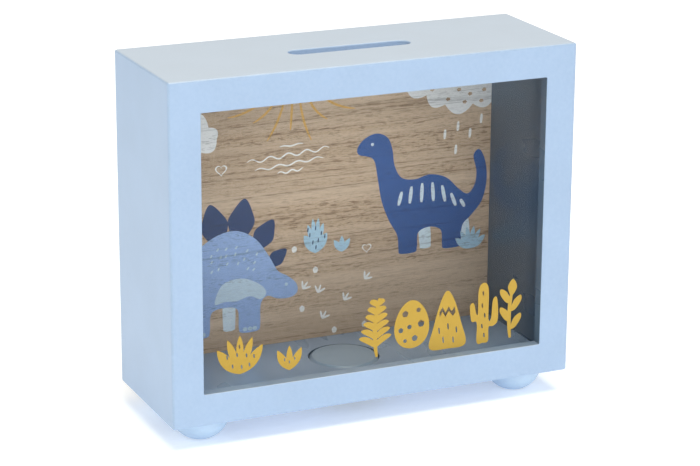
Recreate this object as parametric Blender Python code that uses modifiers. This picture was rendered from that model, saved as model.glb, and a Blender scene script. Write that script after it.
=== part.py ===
"""Wooden money box with a framed clear window, on four half-ball feet.

Four mitred boards make the ring of the box. A one-piece frame board is glued to its
front with a clear pane behind the window, and a thin panel is pinned into a rebate at
the back. Coins go in through a slot in the top board and come out through a round hole
in the bottom board, which a soft plastic stopper closes.

The origin is on the surface that the box stands on, under the middle of the box.
+X runs to the right along the front, +Y to the back and +Z up.
"""
import math

import bmesh
import bpy
from mathutils import Matrix, Vector

# Driving dimensions, in metres.
BOX_WIDTH = 0.200
BOX_DEPTH = 0.070
BOX_HEIGHT = 0.160
BOARD = 0.009
FRAME_THICKNESS = 0.0055
FRAME_BORDER = 0.015
WINDOW_CORNER = 0.0006
WINDOW_RIM = 0.0004
PANE_THICKNESS = 0.002
PANEL_THICKNESS = 0.0025
REBATE_WIDTH = 0.0045
REBATE_DEPTH = 0.0037
EDGE_ROUND = 0.0012
EDGE_SEGMENTS = 3

SLOT_LENGTH = 0.060
SLOT_WIDTH = 0.009
SLOT_Y = -0.0025
SLOT_RIM = 0.0008

FOOT_RADIUS = 0.0135
FOOT_FLAT_RADIUS = 0.005
FOOT_HEIGHT = 0.0115
FOOT_SIDE_INSET = 0.0195
FOOT_FRONT_INSET = 0.018
DOWEL_RADIUS = 0.003
DOWEL_CHAMFER = 0.0005
DOWEL_IN_BOARD = 0.0062
DOWEL_IN_FOOT = 0.0075

STOPPER_HOLE_RADIUS = 0.017
STOPPER_FLANGE_RADIUS = 0.020
STOPPER_FLANGE = 0.002
STOPPER_WALL = 0.0016
STOPPER_RIB = 0.0004
STOPPER_STANDS_IN = 0.0005
STOPPER_TAB_WIDTH = 0.010
STOPPER_TAB_REACH = 0.005

PIN_RADIUS = 0.0006
PIN_HEAD_RADIUS = 0.0011
PIN_HEAD = 0.0005
PIN_LENGTH = 0.013
PIN_TIP = 0.0015
PIN_COLUMNS = (-0.080, 0.0, 0.080)
PIN_ROWS = (-0.035, 0.035)

# Clearance between pieces that touch, and how far a cutter runs past what it cuts.
GAP = 0.0003
PAST = 0.002

# Places worked out from the dimensions.
FRONT = -BOX_DEPTH / 2
BACK = BOX_DEPTH / 2
BOX_BASE = FOOT_HEIGHT
BOX_TOP = BOX_BASE + BOX_HEIGHT
BOX_MIDDLE = BOX_BASE + BOX_HEIGHT / 2
FLOOR = BOX_BASE + BOARD
RING_FRONT = FRONT + FRAME_THICKNESS + GAP
RING_MIDDLE = (RING_FRONT + BACK) / 2
RING_DEPTH = BACK - RING_FRONT
INNER_WIDTH = BOX_WIDTH - 2 * BOARD
INNER_HEIGHT = BOX_HEIGHT - 2 * BOARD
REBATE_FACE = BACK - REBATE_DEPTH
PANEL_FRONT = REBATE_FACE + GAP
PANEL_BACK = PANEL_FRONT + PANEL_THICKNESS
PANE_FRONT = RING_FRONT
PANE_BACK = PANE_FRONT + PANE_THICKNESS
STOPPER_Y = (PANE_BACK + PANEL_FRONT) / 2
FOOT_X = BOX_WIDTH / 2 - FOOT_SIDE_INSET
FOOT_Y = BOX_DEPTH / 2 - FOOT_FRONT_INSET
PIN_INSET = (REBATE_WIDTH + GAP + BOARD) / 2
PIN_X = BOX_WIDTH / 2 - PIN_INSET
PIN_Z = BOX_HEIGHT / 2 - PIN_INSET

LIGHT_BLUE = (0.49, 0.63, 0.82)
WOOD_TAN = (0.52, 0.38, 0.24)
BEECH = (0.68, 0.50, 0.32)
CLEAR = (0.90, 0.95, 0.97)
MILKY = (0.80, 0.84, 0.86)
STEEL = (0.60, 0.60, 0.58)


# ---------------------------------------------------------------- scene and materials

def clear_scene():
    for obj in list(bpy.data.objects):
        bpy.data.objects.remove(obj, do_unlink=True)


def make_collection(name):
    collection = bpy.data.collections.new(name)
    bpy.context.scene.collection.children.link(collection)
    return collection


def make_material(name, colour, roughness, metallic=0.0, alpha=1.0):
    material = bpy.data.materials.new(name)
    material.use_nodes = True
    shader = material.node_tree.nodes["Principled BSDF"]
    shader.inputs["Base Color"].default_value = (*colour, 1.0)
    shader.inputs["Roughness"].default_value = roughness
    shader.inputs["Metallic"].default_value = metallic
    shader.inputs["Alpha"].default_value = alpha
    return material


def add_part(name, mesh, colour, roughness, metallic=0.0, alpha=1.0):
    """A visible piece with a material of its own."""
    mesh.materials.append(make_material(name + "_material", colour, roughness, metallic, alpha))
    part = bpy.data.objects.new(name, mesh)
    parts.objects.link(part)
    return part


def add_cutter(name, mesh):
    cutter = bpy.data.objects.new(name, mesh)
    cutter.hide_render = True
    cutter.display_type = 'WIRE'
    cutters.objects.link(cutter)
    return cutter


def boolean(part, cutter, operation='DIFFERENCE'):
    modifier = part.modifiers.new(cutter.name, 'BOOLEAN')
    modifier.operation = operation
    modifier.solver = 'EXACT'
    modifier.object = cutter


# ---------------------------------------------------------------- shapes

def block_mesh(name, size, rounded=None):
    """A block centred on the origin. rounded(edge) says which edges are rounded."""
    mesh = bpy.data.meshes.new(name)
    bm = bmesh.new()
    bmesh.ops.create_cube(bm, size=1.0, matrix=Matrix.Diagonal((*size, 1.0)))
    if rounded:
        edges = [edge for edge in bm.edges if rounded(edge)]
        bmesh.ops.bevel(bm, geom=edges, offset=EDGE_ROUND, segments=EDGE_SEGMENTS,
                        profile=0.5, affect='EDGES')
    bm.to_mesh(mesh)
    bm.free()
    return mesh


def rod_mesh(name, radius, length, places, steps=16):
    """Rods along Z, centred on each of the places."""
    mesh = bpy.data.meshes.new(name)
    bm = bmesh.new()
    for place in places:
        bmesh.ops.create_cone(bm, cap_ends=True, segments=steps, radius1=radius,
                              radius2=radius, depth=length, matrix=Matrix.Translation(place))
    bm.to_mesh(mesh)
    bm.free()
    return mesh


def turn(part, steps):
    """Turns a part's profile about its own Z axis."""
    screw = part.modifiers.new("Turned", 'SCREW')
    screw.axis = 'Z'
    screw.steps = steps
    screw.render_steps = steps
    screw.use_merge_vertices = True
    screw.merge_threshold = 0.00001
    screw.use_smooth_shade = True


def profile_mesh(name, points):
    """An open line of (radius, height) points, in the XZ plane."""
    mesh = bpy.data.meshes.new(name)
    edges = [(index, index + 1) for index in range(len(points) - 1)]
    mesh.from_pydata([(radius, 0.0, height) for radius, height in points], edges, [])
    return mesh


def rounded_rectangle(width, height, radius, arc_steps):
    """Points anticlockwise round a rectangle with round corners."""
    points = []
    for corner in range(4):
        sign_x = 1 if corner in (0, 3) else -1
        sign_y = 1 if corner in (0, 1) else -1
        centre_x = sign_x * (width / 2 - radius)
        centre_y = sign_y * (height / 2 - radius)
        for step in range(arc_steps + 1):
            angle = (corner + step / arc_steps) * math.pi / 2
            points.append((centre_x + radius * math.cos(angle),
                           centre_y + radius * math.sin(angle)))
    return points


def hole_mesh(name, width, height, radius, depth, rim, arc_steps):
    """A cutter along Z for a hole whose rim, at the origin's level, is rounded over.

    It is a loft of one outline at several sizes, from depth below the origin to PAST
    above it.
    """
    levels = [(0.0, -depth), (0.0, -rim)]
    for step in range(1, EDGE_SEGMENTS + 1):
        angle = step / EDGE_SEGMENTS * math.pi / 2
        levels.append((rim * (1 - math.cos(angle)), -rim * (1 - math.sin(angle))))
    levels.append((rim, PAST))
    mesh = bpy.data.meshes.new(name)
    bm = bmesh.new()
    rings = []
    for grow, level in levels:
        outline = rounded_rectangle(width + 2 * grow, height + 2 * grow, radius + grow, arc_steps)
        rings.append([bm.verts.new((x, y, level)) for x, y in outline])
    count = len(rings[0])
    for lower, upper in zip(rings, rings[1:]):
        for index in range(count):
            following = (index + 1) % count
            bm.faces.new((lower[index], lower[following], upper[following], upper[index]))
    bm.faces.new(list(reversed(rings[0])))
    bm.faces.new(rings[-1])
    bmesh.ops.remove_doubles(bm, verts=bm.verts, dist=0.00001)
    bm.to_mesh(mesh)
    bm.free()
    return mesh


def plate_mesh(name, outline, thickness):
    """A flat outline extruded by thickness, half to each side of the XY plane."""
    curve = bpy.data.curves.new(name, 'CURVE')
    curve.dimensions = '2D'
    curve.fill_mode = 'BOTH'
    curve.extrude = thickness / 2
    spline = curve.splines.new('POLY')
    spline.points.add(len(outline) - 1)
    for point, (x, y) in zip(spline.points, outline):
        point.co = (x, y, 0.0, 1.0)
    spline.use_cyclic_u = True
    drawing = bpy.data.objects.new(name, curve)
    bpy.context.scene.collection.objects.link(drawing)
    evaluated = drawing.evaluated_get(bpy.context.evaluated_depsgraph_get())
    mesh = bpy.data.meshes.new_from_object(evaluated)
    bpy.data.objects.remove(drawing, do_unlink=True)
    bm = bmesh.new()
    bm.from_mesh(mesh)
    bmesh.ops.remove_doubles(bm, verts=bm.verts, dist=0.00001)
    bmesh.ops.recalc_face_normals(bm, faces=bm.faces)
    bm.to_mesh(mesh)
    bm.free()
    return mesh


# ---------------------------------------------------------------- frame and pane

def runs_along_y(edge):
    first, second = (vert.co for vert in edge.verts)
    return abs(first.y - second.y) > GAP


def at_front(edge):
    return all(vert.co.y < 0 for vert in edge.verts)


def at_back(edge):
    return all(vert.co.y > 0 for vert in edge.verts)


def make_front_frame():
    mesh = block_mesh("front_frame", (BOX_WIDTH, FRAME_THICKNESS, BOX_HEIGHT),
                      rounded=lambda edge: runs_along_y(edge) or at_front(edge))
    frame = add_part("front_frame", mesh, LIGHT_BLUE, 0.45)
    frame.location = (0.0, FRONT + FRAME_THICKNESS / 2, BOX_MIDDLE)
    window = add_cutter("window_cutter", hole_mesh(
        "window_cutter", BOX_WIDTH - 2 * FRAME_BORDER, BOX_HEIGHT - 2 * FRAME_BORDER,
        WINDOW_CORNER, FRAME_THICKNESS + PAST, WINDOW_RIM, arc_steps=3))
    window.location = (0.0, FRONT, BOX_MIDDLE)
    window.rotation_euler.x = math.pi / 2
    boolean(frame, window)


def make_pane():
    """The pane stands inside the ring, against the back of the frame."""
    size = (INNER_WIDTH - 2 * GAP, PANE_THICKNESS, INNER_HEIGHT - 2 * GAP)
    pane = add_part("front_pane", block_mesh("front_pane", size), CLEAR, 0.05, alpha=0.25)
    pane.location = (0.0, PANE_FRONT + PANE_THICKNESS / 2, BOX_MIDDLE)


# ---------------------------------------------------------------- the ring of boards

def make_mitre_wedge(name, outer, half_length, turn_y):
    """The space that one mitred board may fill.

    outer is how far its outer face is from the middle of the box, and half_length is half
    of its length along that face. Half of the gap comes off each mitre.
    """
    trim = GAP / 2 * math.sqrt(2)
    inner_end = half_length - BOARD - PAST - trim
    outer_end = half_length + PAST - trim
    inner_face = outer - BOARD - PAST
    outer_face = outer + PAST
    outline = [(-inner_end, inner_face), (inner_end, inner_face),
               (outer_end, outer_face), (-outer_end, outer_face)]
    wedge = add_cutter(name, plate_mesh(name, outline, RING_DEPTH + 2 * PAST))
    wedge.matrix_world = (Matrix.Translation((0.0, RING_MIDDLE, BOX_MIDDLE))
                          @ Matrix.Rotation(turn_y, 4, 'Y')
                          @ Matrix.Rotation(math.pi / 2, 4, 'X'))
    return wedge


def make_ring_cutters():
    """The chamber inside the ring, and the rebate for the back panel."""
    chamber_size = (INNER_WIDTH, RING_DEPTH + 2 * PAST, INNER_HEIGHT)
    chamber = add_cutter("chamber_cutter", block_mesh("chamber_cutter", chamber_size))
    chamber.location = (0.0, RING_MIDDLE, BOX_MIDDLE)
    edge = BOARD - REBATE_WIDTH
    rebate_size = (BOX_WIDTH - 2 * edge, REBATE_DEPTH + PAST, BOX_HEIGHT - 2 * edge)
    rebate = add_cutter("rebate_cutter", block_mesh("rebate_cutter", rebate_size))
    rebate.location = (0.0, REBATE_FACE + (REBATE_DEPTH + PAST) / 2, BOX_MIDDLE)
    return chamber, rebate


def make_board(name, outer, half_length, turn_y, ring_cutters):
    mesh = block_mesh(name, (BOX_WIDTH, RING_DEPTH, BOX_HEIGHT),
                      rounded=lambda edge: runs_along_y(edge) or at_back(edge))
    board = add_part(name, mesh, LIGHT_BLUE, 0.45)
    board.location = (0.0, RING_MIDDLE, BOX_MIDDLE)
    boolean(board, make_mitre_wedge(name + "_mitres", outer, half_length, turn_y), 'INTERSECT')
    for cutter in ring_cutters:
        boolean(board, cutter)
    return board


def make_ring():
    ring_cutters = make_ring_cutters()
    sides = (("top_board", BOX_HEIGHT / 2, BOX_WIDTH / 2, 0.0),
             ("right_board", BOX_WIDTH / 2, BOX_HEIGHT / 2, math.pi / 2),
             ("bottom_board", BOX_HEIGHT / 2, BOX_WIDTH / 2, math.pi),
             ("left_board", BOX_WIDTH / 2, BOX_HEIGHT / 2, -math.pi / 2))
    boards = {name: make_board(name, outer, half, turn_y, ring_cutters)
              for name, outer, half, turn_y in sides}

    slot = add_cutter("slot_cutter", hole_mesh("slot_cutter", SLOT_LENGTH, SLOT_WIDTH,
                                               SLOT_WIDTH / 2, BOARD + PAST, SLOT_RIM,
                                               arc_steps=6))
    slot.location = (0.0, SLOT_Y, BOX_TOP)
    boolean(boards["top_board"], slot)

    stopper_hole = add_cutter("stopper_hole_cutter", rod_mesh(
        "stopper_hole_cutter", STOPPER_HOLE_RADIUS, BOARD + 2 * PAST, [(0.0, 0.0, 0.0)],
        steps=48))
    stopper_hole.location = (0.0, STOPPER_Y, BOX_BASE + BOARD / 2)
    boolean(boards["bottom_board"], stopper_hole)
    return boards


# ---------------------------------------------------------------- back panel and pins

def pin_places():
    """Names and (x, z) places of the pins, measured from the middle of the box."""
    places = []
    for side, z in (("top", PIN_Z), ("bottom", -PIN_Z)):
        for column, x in zip(("left", "middle", "right"), PIN_COLUMNS):
            places.append((f"panel_pin_{side}_{column}", x, z))
    for side, x in (("left", -PIN_X), ("right", PIN_X)):
        for row, z in zip(("lower", "upper"), PIN_ROWS):
            places.append((f"panel_pin_{side}_{row}", x, z))
    return places


def make_pin(name, x, z):
    """A panel pin, turned about Z with its head up, then laid along Y with its head back."""
    head_under = PANEL_BACK + GAP
    profile = [(0.0, PIN_HEAD), (PIN_HEAD_RADIUS * 0.8, PIN_HEAD),
               (PIN_HEAD_RADIUS, PIN_HEAD * 0.5), (PIN_HEAD_RADIUS, 0.0), (PIN_RADIUS, 0.0),
               (PIN_RADIUS, PIN_TIP - PIN_LENGTH), (0.0, -PIN_LENGTH)]
    pin = add_part(name, profile_mesh(name, profile), STEEL, 0.35, metallic=1.0)
    pin.location = (x, head_under, BOX_MIDDLE + z)
    pin.rotation_euler.x = -math.pi / 2
    turn(pin, steps=12)


def make_back_panel(boards):
    edge = BOARD - REBATE_WIDTH + GAP
    size = (BOX_WIDTH - 2 * edge, PANEL_THICKNESS, BOX_HEIGHT - 2 * edge)
    panel = add_part("back_panel", block_mesh("back_panel", size), WOOD_TAN, 0.6)
    panel.location = (0.0, PANEL_FRONT + PANEL_THICKNESS / 2, BOX_MIDDLE)

    places = pin_places()
    hole_length = PIN_LENGTH + GAP + PAST
    holes = add_cutter("pin_hole_cutter", rod_mesh(
        "pin_hole_cutter", PIN_RADIUS + GAP, hole_length,
        [(x, z, 0.0) for name, x, z in places], steps=12))
    holes.location = (0.0, PANEL_BACK + PAST - hole_length / 2, BOX_MIDDLE)
    holes.rotation_euler.x = math.pi / 2
    for drilled in (panel, *boards.values()):
        boolean(drilled, holes)
    for name, x, z in places:
        make_pin(name, x, z)


# ---------------------------------------------------------------- feet

def foot_places():
    return [(f"{row}_{side}", sign_x * FOOT_X, sign_y * FOOT_Y)
            for row, sign_y in (("front", -1), ("rear", 1))
            for side, sign_x in (("left", -1), ("right", 1))]


def foot_profile():
    """A half ball, a little flattened, that ends in a flat where it stands."""
    height = FOOT_HEIGHT - GAP
    last_angle = math.acos(FOOT_FLAT_RADIUS / FOOT_RADIUS)
    drop = height / math.sin(last_angle)
    arc_steps = 9
    points = [(0.0, height)]
    for step in range(arc_steps + 1):
        angle = last_angle * step / arc_steps
        points.append((FOOT_RADIUS * math.cos(angle), height - drop * math.sin(angle)))
    points.append((0.0, 0.0))
    return points


def dowel_profile():
    top = BOX_BASE + DOWEL_IN_BOARD
    bottom = BOX_BASE - DOWEL_IN_FOOT
    inner = DOWEL_RADIUS - DOWEL_CHAMFER
    return [(0.0, top), (inner, top), (DOWEL_RADIUS, top - DOWEL_CHAMFER),
            (DOWEL_RADIUS, bottom + DOWEL_CHAMFER), (inner, bottom), (0.0, bottom)]


def make_feet(bottom_board):
    places = foot_places()
    length = DOWEL_IN_BOARD + DOWEL_IN_FOOT + 2 * GAP
    middle = BOX_BASE + (DOWEL_IN_BOARD - DOWEL_IN_FOOT) / 2
    holes = add_cutter("dowel_hole_cutter", rod_mesh(
        "dowel_hole_cutter", DOWEL_RADIUS + GAP, length,
        [(x, y, middle) for name, x, y in places], steps=20))
    boolean(bottom_board, holes)
    for name, x, y in places:
        foot = add_part("foot_" + name, profile_mesh("foot_" + name, foot_profile()),
                        LIGHT_BLUE, 0.45)
        foot.location = (x, y, 0.0)
        turn(foot, steps=40)
        boolean(foot, holes)
        dowel = add_part("foot_dowel_" + name,
                         profile_mesh("foot_dowel_" + name, dowel_profile()), BEECH, 0.7)
        dowel.location = (x, y, 0.0)
        turn(dowel, steps=20)


# ---------------------------------------------------------------- stopper

def stopper_profile():
    """A plug with two ribs and a flange, hollow from below, about the stopper's own axis.

    Its origin is level with the top of the flange, which sits just under the box.
    """
    ribbed = STOPPER_HOLE_RADIUS - GAP
    plain = ribbed - STOPPER_RIB
    inner = plain - STOPPER_WALL
    top = GAP + BOARD + STOPPER_STANDS_IN
    ceiling = top - STOPPER_WALL
    lead = 0.0012
    points = [(0.0, top), (plain - lead, top), (plain, top - lead)]
    for rib_middle in (0.0068, 0.0032):
        points.append((plain, rib_middle + 2 * STOPPER_RIB))
        points.append((ribbed, rib_middle + STOPPER_RIB))
        points.append((ribbed, rib_middle - STOPPER_RIB))
        points.append((plain, rib_middle - 2 * STOPPER_RIB))
    points.append((plain, 0.0))
    points.append((STOPPER_FLANGE_RADIUS, 0.0))
    points.append((STOPPER_FLANGE_RADIUS, 0.0005 - STOPPER_FLANGE))
    points.append((STOPPER_FLANGE_RADIUS - 0.0005, -STOPPER_FLANGE))
    points.append((inner, -STOPPER_FLANGE))
    points.append((inner, ceiling - lead))
    points.append((inner - lead, ceiling))
    points.append((0.0, ceiling))
    return points


def make_stopper():
    stopper = add_part("stopper", profile_mesh("stopper", stopper_profile()), MILKY, 0.4)
    stopper.location = (0.0, STOPPER_Y, BOX_BASE - GAP)
    turn(stopper, steps=48)
    reach = 2 * STOPPER_TAB_REACH
    tab_mesh = plate_mesh("stopper_tab", rounded_rectangle(
        STOPPER_TAB_WIDTH, reach, STOPPER_TAB_WIDTH / 2 - 0.0001, arc_steps=6), STOPPER_FLANGE * 0.8)
    tab = add_cutter("stopper_tab", tab_mesh)
    tab.location = (0.0, STOPPER_Y - STOPPER_FLANGE_RADIUS,
                    BOX_BASE - GAP - STOPPER_FLANGE / 2)
    boolean(stopper, tab, 'UNION')


clear_scene()
parts = make_collection("wooden_money_box")
cutters = make_collection("cutters")
make_front_frame()
make_pane()
ring_boards = make_ring()
make_back_panel(ring_boards)
make_feet(ring_boards["bottom_board"])
make_stopper()
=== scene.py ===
"""Looks of the wooden money box: paint, wood grain, printed picture, pane and stopper.

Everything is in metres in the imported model's own frame: the origin is on the standing
surface under the middle of the box, +X runs right along the front, +Y to the back, +Z up.
Printed shapes are drawn in millimetres, as (across, up) from the middle of the box and
from the floor of the coin chamber. The ring is the four boards round that chamber.
"""
import math
import random

import bmesh
import bpy
from mathutils import Matrix, Vector


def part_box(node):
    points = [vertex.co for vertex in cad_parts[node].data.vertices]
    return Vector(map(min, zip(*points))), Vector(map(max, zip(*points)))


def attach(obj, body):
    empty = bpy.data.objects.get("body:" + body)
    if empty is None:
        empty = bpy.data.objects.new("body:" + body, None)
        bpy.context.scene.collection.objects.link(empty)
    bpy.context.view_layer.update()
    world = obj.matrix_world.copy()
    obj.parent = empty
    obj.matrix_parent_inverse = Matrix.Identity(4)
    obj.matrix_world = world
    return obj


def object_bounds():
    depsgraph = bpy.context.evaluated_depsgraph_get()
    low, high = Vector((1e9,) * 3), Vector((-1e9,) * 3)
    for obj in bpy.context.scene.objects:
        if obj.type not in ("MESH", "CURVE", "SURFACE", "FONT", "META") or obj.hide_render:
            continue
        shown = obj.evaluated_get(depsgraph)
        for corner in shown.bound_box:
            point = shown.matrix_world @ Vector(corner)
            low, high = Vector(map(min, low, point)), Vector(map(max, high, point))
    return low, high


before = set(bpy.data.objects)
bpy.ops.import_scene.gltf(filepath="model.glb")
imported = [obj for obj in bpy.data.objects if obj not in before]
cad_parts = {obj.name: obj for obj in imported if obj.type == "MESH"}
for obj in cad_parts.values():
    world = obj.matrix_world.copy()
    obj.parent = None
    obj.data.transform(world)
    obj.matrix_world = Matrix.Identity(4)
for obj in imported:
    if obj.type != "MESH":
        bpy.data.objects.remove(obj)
cad_low, cad_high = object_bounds()

MM = 0.001

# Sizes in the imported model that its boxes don't tell, in metres.
GAP = 0.0003
FRAME_BORDER = 0.015
EDGE_ROUND = 0.0012
EDGE_SEGMENTS = 3
STOPPER_HOLE_RADIUS = 0.017
STOPPER_FLANGE_RADIUS = 0.020

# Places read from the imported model.
FRAME_LOW, FRAME_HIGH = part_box("front_frame")
BOTTOM_LOW, BOTTOM_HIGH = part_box("bottom_board")
PANEL_LOW, PANEL_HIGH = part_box("back_panel")
PANE_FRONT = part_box("front_pane")[0].y
RING_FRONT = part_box("top_board")[0].y
STOPPER_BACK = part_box("stopper")[1].y
MIDDLE_Z = (FRAME_LOW.z + FRAME_HIGH.z) / 2
HALF_WIDTH = FRAME_HIGH.x
HALF_HEIGHT = FRAME_HIGH.z - MIDDLE_Z
BOARD = BOTTOM_HIGH.z - BOTTOM_LOW.z
CHAMBER_X = HALF_WIDTH - BOARD
CHAMBER_Z = HALF_HEIGHT - BOARD
FLOOR_Z = BOTTOM_HIGH.z
REBATE_FACE = PANEL_LOW.y - GAP

# Colours, as linear red, green and blue.
LIGHT_BLUE = (0.322, 0.456, 0.676)
# The feet's paint is the same blue; this paler copy is painted light from below.
FOOT_BLUE_PAINTED_LIT = (0.430, 0.578, 0.765)
MOTTLE_BLUE = (0.62, 0.74, 0.90)
# Darker blue at the box's edges: wear, and painted shade on the rounded edges.
WORN_SHADED_BLUE = (0.25, 0.34, 0.47)
# Grey mixed into the upward faces of the blue paint: a painted sheen.
PAINTED_SHEEN_GREY = (0.62, 0.64, 0.66)
SLATE = (0.082, 0.134, 0.206)
# Slate on upward faces, painted paler for the light that falls on them.
SLATE_PAINTED_LIT = (0.305, 0.420, 0.590)
TAN = (0.606, 0.436, 0.294)
TAN_PALE = (0.736, 0.568, 0.420)
TAN_CROSS = (0.78, 0.62, 0.45)
TAN_DARK = (0.330, 0.200, 0.105)
PORE_BROWN = (0.205, 0.121, 0.066)
LINE_BROWN = (0.15, 0.085, 0.045)
MDF = (0.330, 0.215, 0.125)
MDF_FLECK = (0.62, 0.45, 0.29)
BEECH = (0.680, 0.500, 0.320)
BEECH_FLECK = (0.40, 0.26, 0.15)
STOPPER_GREY = (0.33, 0.44, 0.57)
STOPPER_PALE = (0.37, 0.48, 0.61)
STEEL = (0.62, 0.61, 0.58)
STEEL_STAIN = (0.36, 0.33, 0.29)
FLOOR_WHITE = (0.88, 0.92, 0.98)
FLOOR_PALE = (0.90, 0.94, 1.0)
FLOOR_GLOW = (0.95, 0.98, 1.0)
MUSTARD = (0.500, 0.318, 0.030)

# Inks of the printed picture, and the share of the wood's own colour in each.
INKS = {
    "navy": (0.023, 0.105, 0.365),
    "spike": (0.013, 0.050, 0.175),
    "mid_blue": (0.340, 0.500, 0.845),
    "ice": (0.60, 0.76, 0.92),
    "pale_blue": (0.740, 0.880, 1.000),
    "teal": (0.460, 0.690, 0.870),
    "white": (0.960, 0.950, 0.920),
    "cloud": (0.93, 0.94, 0.95),
    "sun": (0.720, 0.420, 0.110),
}
WOOD_THROUGH_INK = 0.015


# ---------------------------------------------------------------- node helpers

def new_material(name):
    """An empty node material, and its node tree."""
    material = bpy.data.materials.new(name)
    material.use_nodes = True
    material.node_tree.nodes.clear()
    return material, material.node_tree


def node(tree, kind, inputs=None, **settings):
    """Adds a node. An input given as a socket is linked, and any other is set."""
    made = tree.nodes.new(kind)
    for key, value in settings.items():
        setattr(made, key, value)
    for key, value in (inputs or {}).items():
        if isinstance(value, bpy.types.NodeSocket):
            tree.links.new(value, made.inputs[key])
        elif value is not None:
            made.inputs[key].default_value = value
    return made


def calc(tree, operation, first, second=None):
    return node(tree, "ShaderNodeMath", {0: first, 1: second}, operation=operation).outputs[0]


def tone(colour, share):
    """The colour made darker, or paler where share is above 1."""
    return tuple(min(1.0, channel * share) for channel in colour)


def fade(tree, value, low, high, to_low=0.0, to_high=1.0):
    """Maps low..high to to_low..to_high, held at its ends."""
    made = node(tree, "ShaderNodeMapRange",
                {"Value": value, "From Min": low, "From Max": high,
                 "To Min": to_low, "To Max": to_high}, clamp=True)
    return made.outputs["Result"]


def colour_mix(tree, share, first, second):
    """first where share is 0 and second where it is 1. Each is a socket or a colour."""
    values = {0: share}
    for key, value in ((6, first), (7, second)):
        values[key] = value if isinstance(value, bpy.types.NodeSocket) else (*value, 1.0)
    return node(tree, "ShaderNodeMix", values, data_type='RGBA').outputs[2]


def millimetres(tree, stretch=(1.0, 1.0, 1.0)):
    """The piece's own coordinates in millimetres, each axis times its stretch."""
    place = node(tree, "ShaderNodeTexCoord").outputs["Object"]
    return node(tree, "ShaderNodeVectorMath",
                {0: place, 1: tuple(1000.0 * share for share in stretch)},
                operation='MULTIPLY').outputs[0]


def noise(tree, vector, scale, detail=2.0, roughness=0.5, distortion=0.0):
    return node(tree, "ShaderNodeTexNoise",
                {"Vector": vector, "Scale": scale, "Detail": detail,
                 "Roughness": roughness, "Distortion": distortion}).outputs["Fac"]


def split(tree, vector):
    return node(tree, "ShaderNodeSeparateXYZ", {0: vector}).outputs


def bump(tree, height, distance, strength=1.0, under=None):
    return node(tree, "ShaderNodeBump", {"Height": height, "Distance": distance,
                                         "Strength": strength, "Normal": under}).outputs[0]


def finish_surface(tree, shader):
    output = node(tree, "ShaderNodeOutputMaterial")
    tree.links.new(shader.outputs[0], output.inputs["Surface"])


def principled(tree, **inputs):
    """A Principled shader. The names of its inputs have _ for spaces."""
    values = {}
    for key, value in inputs.items():
        if isinstance(value, tuple) and len(value) == 3:
            value = (*value, 1.0)
        values[key.replace("_", " ")] = value
    return node(tree, "ShaderNodeBsdfPrincipled", values)


# ---------------------------------------------------------------- materials

def inside_mask(tree, half_x, half_z, from_y):
    """1 within half_x and half_z of the box's middle and behind from_y, all in millimetres."""
    x, y, z = split(tree, millimetres(tree))
    across = calc(tree, 'LESS_THAN', calc(tree, 'ABSOLUTE', x), half_x)
    up = calc(tree, 'SUBTRACT', z, MIDDLE_Z / MM)
    high = calc(tree, 'LESS_THAN', calc(tree, 'ABSOLUTE', up), half_z)
    behind = calc(tree, 'GREATER_THAN', y, from_y)
    return calc(tree, 'MULTIPLY', calc(tree, 'MULTIPLY', across, high), behind)


def box_edge_mask(tree, reach):
    """1 on the outer edges of the box, falling to 0 at reach millimetres from them."""
    x, y, z = split(tree, millimetres(tree))
    up = calc(tree, 'SUBTRACT', z, MIDDLE_Z / MM)
    near = []
    for value, half in ((x, HALF_WIDTH), (y, cad_high.y), (up, HALF_HEIGHT)):
        away = calc(tree, 'SUBTRACT', half / MM, calc(tree, 'ABSOLUTE', value))
        near.append(fade(tree, away, 0.0, reach, 1.0, 0.0))
    pairs = [calc(tree, 'MULTIPLY', near[first], near[second])
             for first, second in ((0, 1), (1, 2), (0, 2))]
    return calc(tree, 'MAXIMUM', calc(tree, 'MAXIMUM', pairs[0], pairs[1]), pairs[2])


def hole_mask(tree, x, y, radius, from_z, to_z):
    """1 within the radius of an upright line and between two heights, in millimetres."""
    across, deep, high = split(tree, millimetres(tree))
    run = calc(tree, 'POWER', calc(tree, 'SUBTRACT', across, x), 2.0)
    side = calc(tree, 'POWER', calc(tree, 'SUBTRACT', deep, y), 2.0)
    near = calc(tree, 'LESS_THAN', calc(tree, 'ADD', run, side), radius * radius)
    level = calc(tree, 'MULTIPLY', calc(tree, 'GREATER_THAN', high, from_z),
                 calc(tree, 'LESS_THAN', high, to_z))
    return calc(tree, 'MULTIPLY', near, level)


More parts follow.
